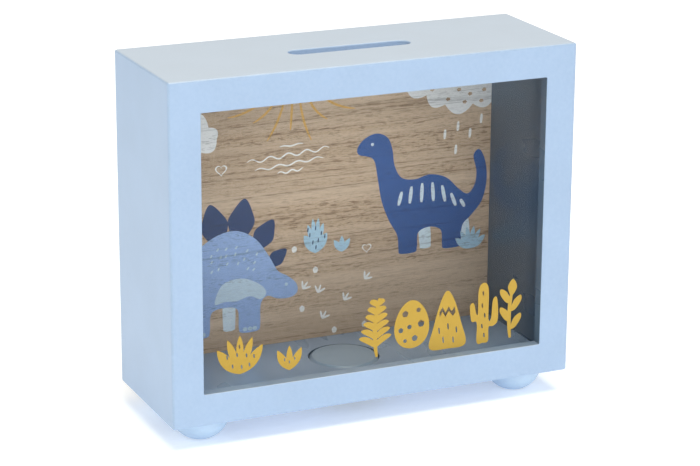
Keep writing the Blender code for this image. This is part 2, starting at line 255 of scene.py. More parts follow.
def painted_wood(name, inside=None, hole=None, worn_shaded_edges=True, base=LIGHT_BLUE,
                 painted_lit_slate=SLATE_PAINTED_LIT):
    """Satin light blue paint, painted paler on upward faces as a painted sheen.

    inside and hole are the limits of slate paint, if any, as inside_mask and hole_mask
    take them. The last argument is the slate of upward faces, painted paler as painted light.
    """
    material, tree = new_material(name)
    place = millimetres(tree)
    cloud = noise(tree, place, 0.035, detail=3.0)
    mottle = noise(tree, place, 0.55, detail=4.0, roughness=0.6)
    orange_peel = noise(tree, place, 1.6, detail=2.0)

    blue = colour_mix(tree, fade(tree, cloud, 0.35, 0.65), base, tone(base, 0.955))
    blue = colour_mix(tree, fade(tree, mottle, 0.35, 0.75, 0.0, 0.10), blue, MOTTLE_BLUE)
    # Upward faces are painted paler, mixed towards grey: a painted sheen of the light from above.
    normal = node(tree, "ShaderNodeNewGeometry").outputs["Normal"]
    upward = fade(tree, split(tree, normal)[2], 0.6, 0.95)
    blue = colour_mix(tree, calc(tree, 'MULTIPLY', upward, 0.38), blue, PAINTED_SHEEN_GREY)
    rough = fade(tree, mottle, 0.3, 0.7, 0.36, 0.46)
    if worn_shaded_edges:
        # The edges are painted darker in noisy patches: wear, and painted shade that dulls their
        # highlight.
        scuff = noise(tree, place, 0.22, detail=5.0, roughness=0.7)
        wear_and_shade = fade(tree, scuff, 0.38, 0.66, 0.12, 0.60)
        edge = calc(tree, 'MULTIPLY', box_edge_mask(tree, EDGE_ROUND / MM), wear_and_shade)
        blue = colour_mix(tree, edge, blue, WORN_SHADED_BLUE)
        rough = calc(tree, 'MAXIMUM', rough, calc(tree, 'MULTIPLY', edge, 0.75))
    colour = blue
    if inside:
        mask = inside_mask(tree, *inside)
        if hole:
            mask = calc(tree, 'MAXIMUM', mask, hole_mask(tree, *hole))
        streak = noise(tree, millimetres(tree, (1.0, 0.30, 1.0)), 0.06, detail=2.0)
        patch = fade(tree, streak, 0.35, 0.68)
        slate = colour_mix(tree, patch, SLATE, tone(SLATE, 0.90))
        # Upward faces get the paler slate: painted light from above.
        painted_lit = colour_mix(tree, patch, painted_lit_slate, tone(painted_lit_slate, 0.86))
        slate = colour_mix(tree, upward, slate, painted_lit)
        colour = colour_mix(tree, mask, blue, slate)
        inner_rough = fade(tree, streak, 0.3, 0.7, 0.26, 0.34)
        rough = node(tree, "ShaderNodeMix", {0: mask, 2: rough, 3: inner_rough}).outputs[0]
        # The sprayed slate coat is smoother than the blue one.
        outside = calc(tree, 'SUBTRACT', 1.0, mask)
        orange_peel = calc(tree, 'MULTIPLY', orange_peel, outside)
        cloud = calc(tree, 'MULTIPLY', cloud, outside)
    skin = bump(tree, orange_peel, 0.00002, 0.35)
    skin = bump(tree, cloud, 0.00060, 0.12, under=skin)
    finish_surface(tree, principled(tree, Base_Color=colour, Roughness=rough, Normal=skin,
                                    Specular_IOR_Level=0.75))
    return material


def wood_grain(tree):
    """Colour, pores and dark growth lines of a flat-sawn board whose grain runs along X."""
    figure = noise(tree, millimetres(tree, (0.020, 1.0, 0.70)), 0.17, detail=4.0, roughness=0.6,
                   distortion=0.2)
    fibre = noise(tree, millimetres(tree, (0.045, 1.0, 1.0)), 1.5, detail=3.0, roughness=0.6)
    dash_field = noise(tree, millimetres(tree, (0.12, 1.0, 1.0)), 1.75, detail=2.0, roughness=0.6)
    pore = noise(tree, millimetres(tree, (0.16, 1.0, 1.0)), 3.0, detail=1.0, roughness=0.6)
    band = noise(tree, millimetres(tree, (0.0095, 1.0, 1.0)), 0.085, detail=2.0, roughness=0.45,
                 distortion=0.6)
    broad = noise(tree, millimetres(tree, (0.10, 1.0, 1.0)), 0.030, detail=2.0, distortion=0.3)
    cross = noise(tree, millimetres(tree, (1.0, 1.0, 0.16)), 1.7, detail=2.0)

    colour = colour_mix(tree, fade(tree, figure, 0.36, 0.64), TAN_PALE, TAN)
    colour = colour_mix(tree, fade(tree, broad, 0.46, 0.66, 0.0, 0.38), colour, TAN_DARK)
    colour = colour_mix(tree, fade(tree, cross, 0.40, 0.64, 0.0, 0.22), colour, TAN_CROSS)
    colour = colour_mix(tree, fade(tree, fibre, 0.46, 0.64, 0.0, 0.20), colour, TAN_DARK)
    # A growth line runs wherever the band noise passes its middle value.
    away = calc(tree, 'ABSOLUTE', calc(tree, 'SUBTRACT', band, 0.5))
    halo = calc(tree, 'MULTIPLY', fade(tree, away, 0.0, 0.045, 1.0, 0.0),
                fade(tree, dash_field, 0.40, 0.60, 0.25, 1.0))
    line = calc(tree, 'MULTIPLY', fade(tree, away, 0.0, 0.011, 1.0, 0.0),
                fade(tree, dash_field, 0.36, 0.52, 0.15, 1.0))
    colour = colour_mix(tree, calc(tree, 'MULTIPLY', halo, 0.40), colour, TAN_DARK)
    colour = colour_mix(tree, calc(tree, 'MULTIPLY', line, 0.62), colour, LINE_BROWN)
    # Short dark dashes, which crowd together in the darker bands.
    dark = calc(tree, 'MAXIMUM', fade(tree, pore, 0.58, 0.64, 0.0, 0.6),
                fade(tree, dash_field, 0.580, 0.620))
    dark = calc(tree, 'MULTIPLY', dark, fade(tree, figure, 0.40, 0.58, 0.25, 1.0))
    colour = colour_mix(tree, calc(tree, 'MULTIPLY', dark, 0.72), colour, PORE_BROWN)
    return colour, dark, line


def printed_panel(name):
    """Wood grain on the front of the panel, bare brown fibreboard on its back and edges."""
    material, tree = new_material(name)
    colour, dark, _ = wood_grain(tree)
    place = millimetres(tree)
    printed_skin = 0.2
    is_back = calc(tree, 'GREATER_THAN', split(tree, place)[1], PANEL_LOW.y / MM + printed_skin)
    fibre = noise(tree, place, 1.8, detail=6.0, roughness=0.75)
    cloud = noise(tree, place, 0.05, detail=3.0)
    brown = colour_mix(tree, fade(tree, fibre, 0.30, 0.72), MDF, tone(MDF, 1.45))
    brown = colour_mix(tree, fade(tree, cloud, 0.35, 0.65, 0.0, 0.16), brown, tone(MDF, 0.72))
    shred = noise(tree, millimetres(tree, (0.5, 1.0, 0.9)), 0.85, detail=4.0, roughness=0.7)
    brown = colour_mix(tree, fade(tree, shred, 0.54, 0.68, 0.0, 0.55), brown, tone(MDF, 0.60))
    brown = colour_mix(tree, fade(tree, shred, 0.46, 0.34, 0.0, 0.40), brown, MDF_FLECK)
    colour = colour_mix(tree, is_back, colour, brown)
    sunk = calc(tree, 'MULTIPLY', dark, -1.0)
    depth = node(tree, "ShaderNodeMix", {0: is_back, 2: sunk, 3: fibre}).outputs[0]
    skin = bump(tree, depth, 0.00004, 0.08)
    rough = fade(tree, dark, 0.0, 1.0, 0.58, 0.75)
    finish_surface(tree, principled(tree, Base_Color=colour, Roughness=rough, Normal=skin))
    return material


def panel_ink(name, ink):
    """Ink printed on the wood: the pores and the figure show through it."""
    material, tree = new_material(name)
    colour, dark, line = wood_grain(tree)
    place = millimetres(tree)
    dots = noise(tree, place, 1.9, detail=3.0, roughness=0.65)
    cloud = noise(tree, place, 0.18, detail=3.0)
    laid = colour_mix(tree, fade(tree, cloud, 0.3, 0.7, 0.0, 0.5), ink, tone(ink, 1.12))
    laid = colour_mix(tree, fade(tree, dots, 0.50, 0.68, 0.0, 0.34), laid, tone(ink, 1.40))
    sunk = calc(tree, 'MAXIMUM', calc(tree, 'MULTIPLY', dark, 0.70),
                calc(tree, 'MULTIPLY', line, 0.80))
    laid = colour_mix(tree, sunk, laid, tone(ink, 0.52))
    laid = colour_mix(tree, WOOD_THROUGH_INK, laid, colour)
    skin = bump(tree, calc(tree, 'MULTIPLY', dark, -1.0), 0.00005, 0.2)
    finish_surface(tree, principled(tree, Base_Color=laid, Normal=skin,
                                    Roughness=fade(tree, dots, 0.3, 0.7, 0.5, 0.62)))
    return material


def pane_ink(name, ink):
    """Opaque screen-printed ink on the clear pane."""
    material, tree = new_material(name)
    place = millimetres(tree)
    mesh = noise(tree, place, 3.0, detail=3.0, roughness=0.7)
    cloud = noise(tree, place, 0.12, detail=3.0)
    colour = colour_mix(tree, fade(tree, cloud, 0.3, 0.7, 0.0, 0.6), ink, tone(ink, 0.90))
    colour = colour_mix(tree, fade(tree, mesh, 0.50, 0.78, 0.0, 0.35), colour, tone(ink, 0.72))
    skin = bump(tree, mesh, 0.00003, 0.4)
    finish_surface(tree, principled(tree, Base_Color=colour, Normal=skin,
                                    Roughness=fade(tree, mesh, 0.3, 0.7, 0.38, 0.52)))
    return material


def clear_pane(name):
    """Thin clear sheet: what is behind it shows straight through, under a gloss."""
    material, tree = new_material(name)
    place = millimetres(tree)
    smear = noise(tree, millimetres(tree, (0.35, 1.0, 1.0)), 0.06, detail=4.0, roughness=0.6)
    scratch = noise(tree, millimetres(tree, (0.08, 1.0, 1.0)), 1.3, detail=2.0)
    film = noise(tree, place, 0.03, detail=2.0)
    rough = fade(tree, smear, 0.35, 0.70, 0.02, 0.09)
    skin = bump(tree, film, 0.0006, 0.25)
    skin = bump(tree, scratch, 0.000008, 0.3, under=skin)
    through = node(tree, "ShaderNodeBsdfTransparent", {"Color": (0.984, 0.990, 0.993, 1.0)})
    gloss = node(tree, "ShaderNodeBsdfGlossy",
                 {"Color": (1.0, 1.0, 1.0, 1.0), "Roughness": rough, "Normal": skin})
    # The same share of gloss on both sides of the sheet, rising at a grazing angle.
    facing = node(tree, "ShaderNodeLayerWeight", {"Blend": 0.5, "Normal": skin}).outputs["Facing"]
    share = fade(tree, calc(tree, 'POWER', facing, 5.0), 0.0, 1.0, 0.007, 0.85)
    mixed = node(tree, "ShaderNodeMixShader",
                 {0: share, 1: through.outputs[0], 2: gloss.outputs[0]})
    finish_surface(tree, mixed)
    return material


def milky_plastic(name):
    """Soft stopper plastic that lets some light through."""
    material, tree = new_material(name)
    place = millimetres(tree)
    cloud = noise(tree, place, 0.20, detail=3.0)
    grain = noise(tree, place, 2.2, detail=3.0)
    colour = colour_mix(tree, fade(tree, cloud, 0.3, 0.7), STOPPER_GREY, STOPPER_PALE)
    skin = bump(tree, grain, 0.00004, 0.4)
    body = principled(tree, Base_Color=colour, Normal=skin,
                      Roughness=fade(tree, grain, 0.3, 0.7, 0.30, 0.42))
    through = node(tree, "ShaderNodeBsdfTransparent", {"Color": (0.93, 0.95, 0.96, 1.0)})
    facing = node(tree, "ShaderNodeLayerWeight", {"Blend": 0.5}).outputs["Facing"]
    solid_share = fade(tree, facing, 0.2, 1.0, 0.80, 0.95)
    mixed = node(tree, "ShaderNodeMixShader",
                 {0: solid_share, 1: through.outputs[0], 2: body.outputs[0]})
    finish_surface(tree, mixed)
    return material


def pin_steel(name):
    """Bright steel with a brushed scuff and a few dull stains."""
    material, tree = new_material(name)
    place = millimetres(tree)
    scuff = noise(tree, millimetres(tree, (6.0, 0.6, 1.0)), 3.0, detail=4.0, roughness=0.7)
    stain = noise(tree, place, 1.4, detail=3.0)
    colour = colour_mix(tree, fade(tree, stain, 0.45, 0.70), STEEL, STEEL_STAIN)
    finish_surface(tree, principled(tree, Base_Color=colour, Metallic=1.0,
                                    Roughness=fade(tree, scuff, 0.3, 0.7, 0.26, 0.48),
                                    Normal=bump(tree, scuff, 0.00004, 0.5)))
    return material


def dowel_wood(name):
    """Bare beech whose grain runs up the dowel."""
    material, tree = new_material(name)
    lines = noise(tree, millimetres(tree, (1.0, 1.0, 0.10)), 2.6, detail=4.0, roughness=0.6)
    fleck = noise(tree, millimetres(tree, (1.0, 1.0, 0.30)), 5.0, detail=2.0)
    colour = colour_mix(tree, fade(tree, lines, 0.35, 0.65), BEECH, tone(BEECH, 0.78))
    colour = colour_mix(tree, fade(tree, fleck, 0.58, 0.70, 0.0, 0.6), colour, BEECH_FLECK)
    finish_surface(tree, principled(tree, Base_Color=colour,
                                    Roughness=fade(tree, lines, 0.3, 0.7, 0.62, 0.78),
                                    Normal=bump(tree, lines, 0.00008, 0.5)))
    return material


def studio_floor(name):
    """White table top that glows a little, which keeps the shadows on it light."""
    material, tree = new_material(name)
    place = millimetres(tree)
    cloud = noise(tree, place, 0.004, detail=2.0)
    colour = colour_mix(tree, fade(tree, cloud, 0.3, 0.7), FLOOR_WHITE, FLOOR_PALE)
    top = principled(tree, Base_Color=colour, Roughness=0.75, Specular_IOR_Level=0.2,
                     Emission_Color=FLOOR_GLOW, Emission_Strength=0.30)
    # The floor can't be seen from below, so the underside of the box shows.
    below = node(tree, "ShaderNodeNewGeometry").outputs["Backfacing"]
    nothing = node(tree, "ShaderNodeBsdfTransparent")
    finish_surface(tree, node(tree, "ShaderNodeMixShader",
                              {0: below, 1: top.outputs[0], 2: nothing.outputs[0]}))
    return material


# ---------------------------------------------------------------- the carried pieces

def smooth_edges(obj, angle_degrees=32.0):
    """Shades a carried node smooth across its small rounds, and keeps its corners sharp."""
    for face in obj.data.polygons:
        face.use_smooth = True
    weld = obj.modifiers.new("Weld", 'WELD')
    weld.merge_threshold = 0.002 * MM
    crease = obj.modifiers.new("Sharp corners", 'EDGE_SPLIT')
    crease.split_angle = math.radians(angle_degrees)
    flat = obj.modifiers.new("Flat faces stay flat", 'WEIGHTED_NORMAL')
    flat.mode = 'FACE_AREA'
    flat.weight = 100


def dress(obj, material):
    obj.data.materials.clear()
    obj.data.materials.append(material)


def make_frame_paint():
    """Blue outside, slate on the faces of the window opening. Limits are in millimetres."""
    margin = 0.05
    blue_lip = 0.45
    window = ((HALF_WIDTH - FRAME_BORDER) / MM + margin,
              (HALF_HEIGHT - FRAME_BORDER) / MM + margin, FRAME_LOW.y / MM + blue_lip)
    # The reveal's upward faces get a darker share of the paler slate, as painted light.
    return painted_wood("frame_paint", inside=window, painted_lit_slate=tone(SLATE_PAINTED_LIT, 0.66))


def make_ring_paint():
    """Blue outside, slate in the coin chamber and down the stopper's hole.

    Limits are in millimetres.
    """
    margin = 0.05
    hole_margin = 0.3
    blue_lip = 0.8
    over_floor = 0.5
    chamber = (CHAMBER_X / MM + margin, CHAMBER_Z / MM + margin, FRAME_HIGH.y / MM)
    hole = (0.0, (STOPPER_BACK - STOPPER_FLANGE_RADIUS) / MM,
            STOPPER_HOLE_RADIUS / MM + hole_margin, BOTTOM_LOW.z / MM + blue_lip,
            FLOOR_Z / MM + over_floor)
    # The chamber's upward faces, its floor most of all, get the paler slate as painted light.
    return painted_wood("ring_paint", inside=chamber, hole=hole)


def dress_frame():
    """Gives every carried node its material. Returns the paint of the ring."""
    frame_paint = make_frame_paint()
    ring_paint = make_ring_paint()
    # The feet get a paler copy of the blue paint, as painted light from below.
    foot_paint = painted_wood("foot_paint", worn_shaded_edges=False, base=FOOT_BLUE_PAINTED_LIT)
    looks = {"front_frame": frame_paint, "front_pane": clear_pane("pane_clear"),
             "back_panel": printed_panel("panel_wood"), "stopper": milky_plastic("stopper_milky")}
    steel = pin_steel("pin_bright_steel")
    beech = dowel_wood("dowel_beech")
    for name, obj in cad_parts.items():
        if name.endswith("_board"):
            material = ring_paint
        elif name.startswith("panel_pin"):
            material = steel
        elif name.startswith("foot_dowel"):
            material = beech
        elif name.startswith("foot_"):
            material = foot_paint
        else:
            material = looks[name]
        dress(obj, material)
        smooth_edges(obj)
    return ring_paint


# ---------------------------------------------------------------- filled seams

def new_piece(name, mesh, material):
    """A visible piece that rides on the box's body."""
    piece = bpy.data.objects.new(name, mesh)
    bpy.context.scene.collection.objects.link(piece)
    dress(piece, material)
    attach(piece, "box")
    return piece


def solid(name, low, high, rounded=None):
    """A temporary block between two corners. rounded(edge) says which edges are rounded."""
    low, high = Vector(low), Vector(high)
    size = high - low
    bm = bmesh.new()
    bmesh.ops.create_cube(bm, size=1.0, matrix=Matrix.Translation((low + high) / 2)
                          @ Matrix.Diagonal((*size, 1.0)))
    if rounded:
        edges = [edge for edge in bm.edges if rounded(edge)]
        bmesh.ops.bevel(bm, geom=edges, offset=EDGE_ROUND, segments=EDGE_SEGMENTS, profile=0.5,
                        affect='EDGES')
    mesh = bpy.data.meshes.new(name)
    bm.to_mesh(mesh)
    bm.free()
    obj = bpy.data.objects.new(name, mesh)
    bpy.context.scene.collection.objects.link(obj)
    return obj


def carve(obj, cutter, operation='DIFFERENCE'):
    """Cuts the cutter out of the object, or keeps what they share, without baking it."""
    modifier = obj.modifiers.new(cutter.name, 'BOOLEAN')
    modifier.operation = operation
    modifier.solver = 'EXACT'
    modifier.object = cutter


def baked_mesh(obj, name):
    """The object's mesh with its modifiers applied, as a mesh of its own."""
    graph = bpy.context.evaluated_depsgraph_get()
    mesh = bpy.data.meshes.new_from_object(obj.evaluated_get(graph))
    mesh.name = name
    return mesh


def along_y(edge):
    """Whether an edge of a block that lies square runs from front to back."""
    first, second = (vert.co for vert in edge.verts)
    return abs(first.y - second.y) > GAP / 2


def make_seam_fillers(paint):
    """Filled and painted seams: behind the frame, and down the four mitres of the ring."""
    back = cad_high.y
    past = 2 * MM
    seam = solid("seam_ring", (-HALF_WIDTH, FRAME_HIGH.y, MIDDLE_Z - HALF_HEIGHT),
                 (HALF_WIDTH, RING_FRONT, MIDDLE_Z + HALF_HEIGHT), rounded=along_y)
    chamber = solid("seam_chamber", (-CHAMBER_X, FRAME_HIGH.y - past, MIDDLE_Z - CHAMBER_Z),
                    (CHAMBER_X, back + past, MIDDLE_Z + CHAMBER_Z))
    carve(seam, chamber)
    smooth_edges(new_piece("frame_seam_filler", baked_mesh(seam, "frame_seam_filler"), paint))

    blank = solid("mitre_blank", (-HALF_WIDTH, RING_FRONT, MIDDLE_Z - HALF_HEIGHT),
                  (HALF_WIDTH, back, MIDDLE_Z + HALF_HEIGHT),
                  rounded=lambda edge: along_y(edge) or all(v.co.y > 0 for v in edge.verts))
    rebate = solid("mitre_rebate", (PANEL_LOW.x - GAP, REBATE_FACE, PANEL_LOW.z - GAP),
                   (PANEL_HIGH.x + GAP, back + past, PANEL_HIGH.z + GAP))
    carve(blank, chamber)
    carve(blank, rebate)
    reach = 30 * MM
    for corner, sign_x, sign_z in (("top_right", 1, 1), ("top_left", -1, 1),
                                   ("bottom_left", -1, -1), ("bottom_right", 1, -1)):
        slab = solid(f"mitre_slab_{corner}", (-reach, RING_FRONT - past, -GAP / 2),
                     (reach, back + past, GAP / 2))
        place = Vector((sign_x * HALF_WIDTH, 0.0, MIDDLE_Z + sign_z * HALF_HEIGHT))
        turn = -sign_x * sign_z * math.pi / 4
        slab.matrix_world = Matrix.Translation(place) @ Matrix.Rotation(turn, 4, 'Y')
        strip = blank.copy()
        bpy.context.scene.collection.objects.link(strip)
        carve(strip, slab, 'INTERSECT')
        name = f"mitre_filler_{corner}"
        smooth_edges(new_piece(name, baked_mesh(strip, name), paint))
        bpy.data.objects.remove(strip, do_unlink=True)
        bpy.data.objects.remove(slab, do_unlink=True)
    for spare in (seam, chamber, blank, rebate):
        bpy.data.objects.remove(spare, do_unlink=True)


# ---------------------------------------------------------------- outlines for the prints

def smooth(points, steps=6):
    """A closed smooth curve through the points."""
    count = len(points)
    outline = []
    for index in range(count):
        before, start, end, after = (points[(index + shift) % count] for shift in (-1, 0, 1, 2))
        for step in range(steps):
            t = step / steps
            outline.append(tuple(
                0.5 * ((2 * b) + (c - a) * t + (2 * a - 5 * b + 4 * c - d) * t ** 2
                       + (3 * b - a - 3 * c + d) * t ** 3)
                for a, b, c, d in zip(before, start, end, after)))
    return outline


def disc(x, up, radius, squash=1.0, wobble=0.0, turn=0.0):
    """A round mark. wobble makes its edge uneven, in five lobes that turn shifts."""
    outline = []
    steps = 28
    for step in range(steps):
        angle = 2 * math.pi * step / steps
        reach = radius * (1 + wobble * math.sin(5 * angle + turn))
        outline.append((x + reach * math.cos(angle), up + squash * reach * math.sin(angle)))
    return outline


def stroke(points, width, tip=0.35):
    """A brush line along the points, whose ends narrow to tip times its width."""
    left, right = [], []
    last = len(points) - 1
    for index, (x, up) in enumerate(points):
        ahead = points[min(index + 1, last)]
        behind = points[max(index - 1, 0)]
        slope = math.hypot(ahead[0] - behind[0], ahead[1] - behind[1])
        across = (-(ahead[1] - behind[1]) / slope, (ahead[0] - behind[0]) / slope)
        share = tip + (1 - tip) * math.sin(math.pi * index / last) ** 0.5
        half = width / 2 * share
        left.append((x + across[0] * half, up + across[1] * half))
        right.append((x - across[0] * half, up - across[1] * half))
    return left + right[::-1]


def wave(x, up, length, rise, height, swells):
    """A wavy line that starts at (x, up) and rises a little along its length."""
    points = []
    steps = 36
    for step in range(steps + 1):
        t = step / steps
        points.append((x + length * t,
                       up + rise * t + height * math.sin(2 * math.pi * swells * t)))
    return stroke(points, 0.75)


def arc_line(start, end, sag, steps=12):
    """Points from start to end that bow to the left of the way by sag."""
    run = (end[0] - start[0], end[1] - start[1])
    length = math.hypot(*run)
    side = (-run[1] / length, run[0] / length)
    points = []
    for step in range(steps + 1):
        t = step / steps
        bow = 4 * sag * t * (1 - t)
        points.append((start[0] + run[0] * t + side[0] * bow,
                       start[1] + run[1] * t + side[1] * bow))
    return points


def scallops(corners, bulge):
    """A closed edge of round lobes, one from each corner to the next."""
    outline = []
    for index, start in enumerate(corners):
        end = corners[(index + 1) % len(corners)]
        length = math.hypot(end[0] - start[0], end[1] - start[1])
        outline += arc_line(start, end, -bulge * length, steps=8)[:-1]
    return outline


def tuft(x, up, width, height, leaves, depth=0.62, spread=54.0):
    """A leafy tuft: pointed leaves that fan up from a rounded foot at (x, up).

    depth is how far out the notches between the leaves lie, and spread is how far the
    outer leaves lean, in degrees.
    """
    points = []
    for step in range(2 * leaves - 1):
        angle = math.radians(spread * (1 - step / (leaves - 1)))
        reach = depth if step % 2 else 1.0
        across = math.sin(angle) / math.sin(math.radians(spread)) * width / 2
        points.append((x - across * reach, up + math.cos(angle) * height * reach))
    points.append((x, up))
    outline = []
    for index, start in enumerate(points):
        end = points[(index + 1) % len(points)]
        length = math.hypot(end[0] - start[0], end[1] - start[1])
        bulge = 0.07 if index < len(points) - 2 else 0.20
        outline += arc_line(start, end, bulge * length, steps=8)[:-1]
    return outline


def heart(x, up, size):
    """A heart about (x, up), nearly as wide as size."""
    outline = []
    for step in range(40):
        t = 2 * math.pi * step / 40
        across = 16 * math.sin(t) ** 3
        tall = 13 * math.cos(t) - 5 * math.cos(2 * t) - 2 * math.cos(3 * t) - math.cos(4 * t)
        outline.append((x + across * size / 34, up + tall * size / 34))
    return outline


def dash(x, up, length, width, lean=0.0):
    """A short round-ended mark. lean tilts its top to the right, in degrees."""
    turn = math.radians(lean)
    ends = ((x - math.sin(turn) * length / 2, up - math.cos(turn) * length / 2),
            (x + math.sin(turn) * length / 2, up + math.cos(turn) * length / 2))
    return stroke(arc_line(ends[0], ends[1], 0.0, steps=6), width, tip=0.55)


def track(x, up, size, lean=0.0):
    """A bird's three-toed print."""
    toes = []
    for spread in (-42, 0, 42):
        turn = math.radians(spread + lean)
        tip = (x + size * math.sin(turn), up + size * math.cos(turn))
        toes.append(stroke(arc_line((x, up), tip, 0.0, steps=5), size * 0.26, tip=0.45))
    return toes


# ---------------------------------------------------------------- printing

PRINT_THICKNESS = 0.03 * MM
PRINT_LIFT = 0.004 * MM
OVERLAP_STEP_MM = 0.004


def print_shape(name, outlines, face_y, layer, material):
    """Lays a print, as thin geometry, on a face that looks to -Y.

    Each entry of outlines is a list of closed outlines: the first is the shape and the rest
    are holes in it. layer counts how many prints lie under it.
    """
    curve = bpy.data.curves.new(name, 'CURVE')
    curve.dimensions = '2D'
    curve.fill_mode = 'BOTH'
    curve.extrude = PRINT_THICKNESS / 2 / MM
    meshes = []
    for index, group in enumerate(outlines):
        curve.splines.clear()
        # Shapes of one print that overlap lie at slightly different depths.
        level = OVERLAP_STEP_MM * (1 + index % 3) if index else 0.0
        for outline in group:
            spline = curve.splines.new('POLY')
            spline.points.add(len(outline) - 1)
            for point, (x, up) in zip(spline.points, outline):
                point.co = (x, up, level, 1.0)
            spline.use_cyclic_u = True
        drawing = bpy.data.objects.new(name + "_drawing", curve)
        bpy.context.scene.collection.objects.link(drawing)
        bpy.context.view_layer.update()
        meshes.append(baked_mesh(drawing, name))
        bpy.data.objects.remove(drawing, do_unlink=True)
    bm = bmesh.new()
    for mesh in meshes:
        bm.from_mesh(mesh)
        bpy.data.meshes.remove(mesh)
    same_spot_mm = 0.0001
    bmesh.ops.remove_doubles(bm, verts=bm.verts, dist=same_spot_mm)
    bmesh.ops.recalc_face_normals(bm, faces=bm.faces)
    # A small lift keeps each print off the face and off the print under it.
    depth = (face_y - PRINT_LIFT - layer * (PRINT_THICKNESS + 4 * PRINT_LIFT)
             - PRINT_THICKNESS / 2)
    place = (Matrix.Translation((0.0, depth, FLOOR_Z)) @ Matrix.Rotation(math.pi / 2, 4, 'X')
             @ Matrix.Scale(MM, 4))
    bm.transform(place)
    mesh = bpy.data.meshes.new(name)
    bm.to_mesh(mesh)
    bm.free()
    new_piece(name, mesh, material)


def panel_print(name, outlines, layer, material):
    print_shape(name, outlines, PANEL_LOW.y, layer, material)


def print_long_neck(inks):
    """A plain long-necked dinosaur, in profile."""
    far_legs = [[smooth([(53.0, 50.0), (58.5, 50.0), (59.5, 40.0), (58.5, 38.2), (54.2, 38.2),
                         (53.4, 40.0)])],
                [smooth([(75.5, 52.0), (79.5, 52.0), (80.8, 41.0), (80.0, 38.4), (76.2, 38.4),
                         (75.4, 41.0)])]]
    panel_print("print_long_neck_far_legs", far_legs, 0, inks["pale_blue"])
    body = smooth([
        (20.6, 89.2), (19.8, 92.6), (23.5, 96.8), (29.8, 98.8), (35.6, 96.2), (38.2, 90.0),
        (39.4, 82.0), (43.2, 75.4), (50.4, 73.8), (58.6, 75.4), (67.4, 72.8), (74.2, 66.4),
        (79.0, 63.4), (82.6, 67.0), (83.8, 74.0), (82.0, 82.4), (85.2, 85.2), (88.6, 78.6),
        (89.4, 68.4), (86.8, 58.6), (81.2, 52.0), (76.6, 47.6), (75.8, 39.4), (74.6, 36.8),
        (66.6, 36.8), (65.6, 39.4), (64.8, 46.4), (58.6, 48.8), (52.6, 46.6), (52.0, 39.4),
        (50.8, 36.8), (43.0, 36.8), (42.0, 39.4), (41.2, 46.6), (36.8, 54.4), (32.8, 64.6),
        (30.6, 76.0), (29.0, 84.4), (26.4, 87.4)])
    panel_print("print_long_neck_body", [[body]], 1, inks["navy"])
    marks = [[disc(27.6, 93.6, 0.8)]]
    for x, up, length, lean in ((42.6, 66.4, 7.0, 14.0), (48.2, 68.4, 8.6, 6.0),
                                (54.2, 69.4, 9.6, 2.0), (60.2, 69.2, 9.6, -4.0),
                                (66.0, 67.2, 8.6, -12.0), (71.4, 62.8, 7.2, -22.0),
                                (76.4, 59.2, 4.6, -30.0)):
        marks.append([dash(x, up - length / 2 + 2.0, length, 1.9, lean)])
    panel_print("print_long_neck_marks", marks, 2, inks["pale_blue"])


def print_plated(inks):
    """A plain plated dinosaur, in profile, with a row of leaf-shaped plates."""
    ridge = ((-80.5, 29.5, 9.0, 48.0), (-73.0, 40.0, 11.5, 44.0), (-63.5, 50.5, 14.0, 32.0),
             (-52.5, 57.0, 16.5, 12.0), (-41.0, 58.0, 16.5, -10.0), (-31.0, 51.5, 13.0, -34.0),
             (-24.5, 41.0, 9.5, -52.0))
    plates = []
    for x, up, size, lean in ridge:
        turn = Matrix.Rotation(math.radians(lean), 2)
        kite = [(0.0, -0.35), (0.40, 0.22), (0.30, 0.62), (0.0, 1.0), (-0.30, 0.62), (-0.40, 0.22)]
        leaf = [turn @ Vector((across * size, tall * size)) for across, tall in kite]
        plates.append([smooth([(x + point.x, up + point.y) for point in leaf])])
    plates.append([smooth([(-88.5, 21.0), (-91.0, 30.0), (-86.4, 23.0)])])
    panel_print("print_plated_plates", plates, 0, inks["spike"])
    far_legs = [[smooth([(-49.5, 24.0), (-44.0, 24.0), (-43.6, 12.0), (-44.6, 9.6), (-49.0, 9.6),
                         (-49.8, 12.0)])],
                [smooth([(-76.0, 25.0), (-70.0, 25.0), (-69.6, 12.0), (-70.6, 9.6), (-75.4, 9.6),
                         (-76.2, 12.0)])]]
    panel_print("print_plated_far_legs", far_legs, 1, inks["pale_blue"])
    body = smooth([
        (-90.4, 16.0), (-84.6, 25.4), (-76.4, 36.0), (-66.4, 48.2), (-54.4, 56.8), (-43.0, 59.0),
        (-33.0, 53.8), (-26.2, 44.6), (-21.6, 36.6), (-16.4, 33.2), (-12.0, 29.0), (-11.6, 24.6),
        (-15.2, 22.4), (-21.6, 22.6), (-27.0, 24.6), (-30.4, 21.0), (-30.8, 10.6), (-32.4, 7.8),
        (-40.4, 7.8), (-41.8, 10.6), (-42.4, 19.6), (-48.6, 21.4), (-55.6, 19.6), (-56.6, 10.6),
        (-58.2, 7.8), (-66.4, 7.8), (-67.8, 10.6), (-69.4, 20.6), (-75.6, 22.6), (-83.0, 17.6)])
    panel_print("print_plated_body", [[body]], 2, inks["mid_blue"])
    marks = [[disc(-17.2, 29.2, 0.8)]]
    scatter = random.Random(5)
    for column in range(9):
        for row in range(3):
            x = -70.0 + column * 4.6 + scatter.uniform(-1.0, 1.0)
            ridge_up = 55.5 - 0.030 * (x + 46.0) ** 2
            up = ridge_up - 4.5 - row * 4.2 + scatter.uniform(-0.9, 0.9)
            marks.append([dash(x, up, 1.7, 0.85, lean=scatter.uniform(20, 50))])
    for x in (-38.6, -36.0, -33.6, -64.8, -62.2, -59.8):
        marks.append([disc(x, 9.3, 1.2, squash=0.85)])
    panel_print("print_plated_marks", marks, 3, inks["ice"])
    belly = [[smooth([(-54.0, 24.0), (-50.0, 33.0), (-40.0, 35.0), (-31.0, 31.0), (-27.6, 26.4),
                      (-30.6, 23.4), (-36.0, 25.6), (-42.6, 24.0), (-48.6, 24.4)])]]
    panel_print("print_plated_belly", belly, 3, inks["ice"])


